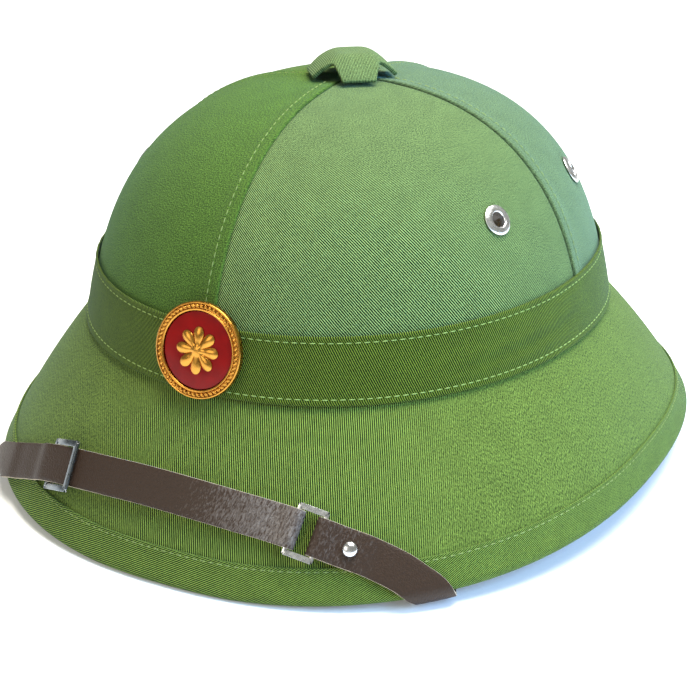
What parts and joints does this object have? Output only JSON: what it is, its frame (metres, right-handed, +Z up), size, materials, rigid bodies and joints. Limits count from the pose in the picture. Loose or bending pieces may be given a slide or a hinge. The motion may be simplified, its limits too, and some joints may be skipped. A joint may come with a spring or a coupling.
{
  "type": "pith helmet",
  "caption": "Cloth-covered sun helmet with a domed crown, wide hat band, sloping brim, vent cap, round enamel badge and a leather chin strap stowed over the brim.",
  "frame": {"origin": "middle of the helmet's length and width, on the surface that it rests on", "axes": "-Y towards the front of the helmet, +X towards the wearer's left, +Z up"},
  "size_m": [0.283, 0.335, 0.174],
  "materials": {
    "shell": "pressed fibre, matte",
    "cloth": "cotton twill, matte",
    "leather": "smooth strap leather, satin",
    "nickel": "polished nickel plate",
    "brass": "polished gilt brass",
    "enamel": "glossy red enamel",
    "steel": "plain zinc-plated steel"
  },
  "bodies": {
    "root": {"shell": "shell", "crown_panel_front_right": "cloth", "crown_panel_back_right": "cloth", "crown_panel_back_left": "cloth", "crown_panel_front_left": "cloth", "brim_cover": "cloth", "brim_binding": "cloth", "hat_band": "cloth", "vent_cap": "cloth", "vent_post": "steel", "eyelet_front_right": "nickel", "eyelet_back_right": "nickel", "eyelet_back_left": "nickel", "eyelet_front_left": "nickel", "badge_body": "brass", "badge_enamel": "enamel", "badge_rosette": "brass", "badge_post": "steel", "strap_long": "leather", "strap_short": "leather", "strap_slider": "nickel", "strap_ring": "nickel", "strap_rivet": "nickel", "anchor_rivet_right": "steel", "anchor_rivet_left": "steel"}
  },
  "joints": []
}
